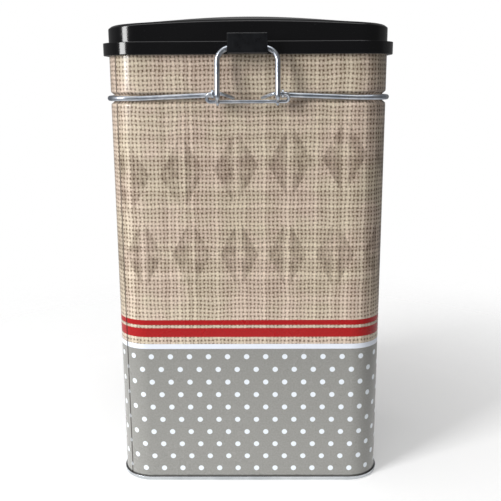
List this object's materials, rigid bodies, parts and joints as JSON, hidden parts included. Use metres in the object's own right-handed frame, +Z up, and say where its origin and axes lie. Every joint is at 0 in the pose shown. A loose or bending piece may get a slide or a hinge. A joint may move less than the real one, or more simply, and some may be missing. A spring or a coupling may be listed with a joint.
{
  "type": "coffee tin",
  "caption": "Tall rounded-rectangular tinplate coffee tin with a domed, stepped black plastic lid, a wire neck band and a wire toggle clasp.",
  "frame": {"origin": "under the middle of the whole tin, clasp and hinge included, on the surface it stands on", "axes": "+Z up, -Y towards the clasp, X across the front"},
  "size_m": [0.1124, 0.0944, 0.1909],
  "materials": {
    "printed_tinplate": "gloss lacquer over a printed coarse weave, two red bands, a white band and a grey field with white dots",
    "bright_tinplate": "bright tinned steel",
    "zinc_wire": "drawn wire, bright zinc plated",
    "black_gloss_plastic": "polished injection moulding",
    "black_matte_plastic": "fine satin moulding",
    "sealing_rubber": "soft translucent silicone"
  },
  "bodies": {
    "tin": {"body_shell": "printed_tinplate", "bottom_panel": "bright_tinplate", "neck_wire": "zinc_wire", "hinge_wire": "zinc_wire"},
    "lever": {"lever_wire": "zinc_wire"},
    "bail": {"bail_wire": "zinc_wire"},
    "lid": {"lid_shell": "black_gloss_plastic", "lid_liner": "black_matte_plastic", "sealing_ring": "sealing_rubber"}
  },
  "joints": [
    {"name": "lid_hinge", "type": "hinge", "parent": "tin", "child": "lid", "pos_m": [0, 0.04446, 0.1764], "axis": [-1, 0, 0], "range_deg": [0, 105]},
    {"name": "lever_swing", "type": "hinge", "parent": "tin", "child": "lever", "pos_m": [0, -0.04404, 0.1606], "axis": [-1, 0, 0], "range_deg": [0, 160]},
    {"name": "bail_swing", "type": "hinge", "parent": "lever", "child": "bail", "pos_m": [0, -0.04284, 0.1577], "axis": [1, 0, 0], "range_deg": [0, 280]}
  ],
  "couplings": [
    {"joint": "bail_swing", "follows": "lever_swing", "ratio": 1.75}
  ]
}
